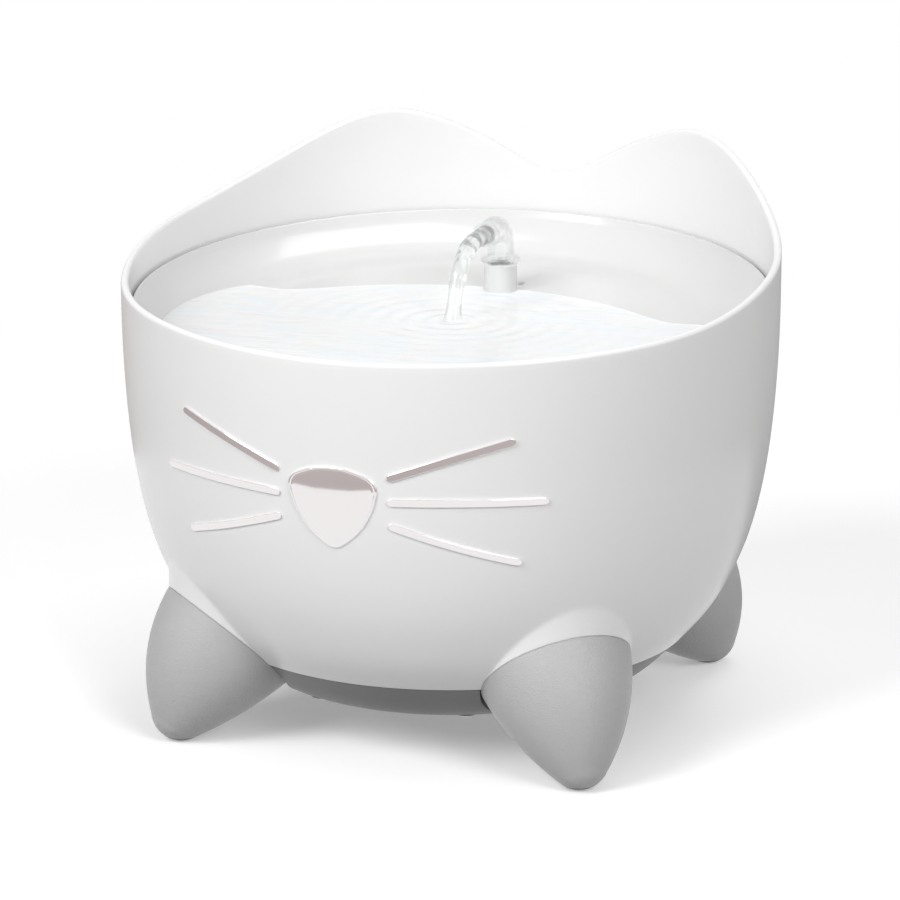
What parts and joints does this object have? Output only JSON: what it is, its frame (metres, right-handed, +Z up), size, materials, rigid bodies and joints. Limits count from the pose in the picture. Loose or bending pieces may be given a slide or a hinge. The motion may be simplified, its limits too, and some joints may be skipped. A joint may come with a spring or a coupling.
{
  "type": "pet water fountain",
  "caption": "Round pet water fountain on tapered legs, with cat ears on the rim, a nose and whiskers on the front, a lift-off drinking dish and a clear turning spout.",
  "frame": {"origin": "on the floor, under the bowl's upright axis, at the underside of the foot pads", "axes": "+Z up along the bowl's axis, -Y towards the face, +X to the right as seen from the front"},
  "size_m": [0.23, 0.23, 0.1928],
  "materials": {
    "shell_white": "moulded white, high gloss",
    "base_grey": "dark grey, fine grain",
    "leg_grey": "mid grey, fine grain",
    "foot_rubber": "soft grey rubber",
    "screw_steel": "zinc plated",
    "mirror_trim": "mirror plated plastic",
    "board_green": "lacquered board",
    "socket_metal": "nickel plated",
    "coil_copper": "lacquered winding",
    "inner_white": "plain white plastic",
    "clear_rubber": "translucent soft rubber",
    "pump_black": "black plastic",
    "impeller_blue": "blue plastic on a coated magnet",
    "ceramic": "polished ceramic",
    "foam": "open cell foam",
    "carbon": "carbon granules in a fleece pouch",
    "dish_white": "moulded white, high gloss",
    "seal_rubber": "white soft rubber",
    "spout_clear": "clear polished plastic"
  },
  "bodies": {
    "bowl": {"outer_shell": "shell_white", "base_cover": "base_grey", "leg_front_right": "leg_grey", "leg_rear_right": "leg_grey", "leg_rear_left": "leg_grey", "leg_front_left": "leg_grey", "foot_pads": "foot_rubber", "leg_screws": "screw_steel", "cover_screws": "screw_steel", "nose_trim": "mirror_trim", "whisker_left_upper": "mirror_trim", "whisker_left_middle": "mirror_trim", "whisker_left_lower": "mirror_trim", "whisker_right_upper": "mirror_trim", "whisker_right_middle": "mirror_trim", "whisker_right_lower": "mirror_trim", "control_board": "board_green", "power_socket": "socket_metal", "power_coil": "coil_copper", "pump_seat": "inner_white", "suction_feet": "clear_rubber", "pump_housing": "pump_black", "pump_cover": "pump_black", "impeller_shaft": "ceramic", "riser_tube": "inner_white"},
    "impeller_body": {"impeller": "impeller_blue"},
    "filter": {"filter_cartridge": "inner_white", "filter_foam": "foam", "filter_carbon": "carbon", "filter_lid": "inner_white"},
    "dish": {"drinking_dish": "dish_white"},
    "seal": {"spout_seal": "seal_rubber"},
    "spout_body": {"spout": "spout_clear"}
  },
  "joints": [
    {"name": "dish_lift", "type": "slide", "parent": "bowl", "child": "dish", "axis": [0, 0, 1], "range_m": [0, 0.09]},
    {"name": "spout_pull", "type": "slide", "parent": "dish", "child": "seal", "axis": [0, 0, 1], "range_m": [0, 0.03]},
    {"name": "spout_swivel", "type": "hinge", "parent": "seal", "child": "spout_body", "pos_m": [0, 0.0515, 0.149], "axis": [0, 0, 1], "range_deg": [-90, 90]},
    {"name": "cartridge_lift", "type": "slide", "parent": "bowl", "child": "filter", "axis": [0, 0, 1], "range_m": [0, 0.045]},
    {"name": "impeller_spin", "type": "hinge", "parent": "bowl", "child": "impeller_body", "pos_m": [0, 0.06, 0.0568], "axis": [0, 1, 0], "continuous": true}
  ]
}
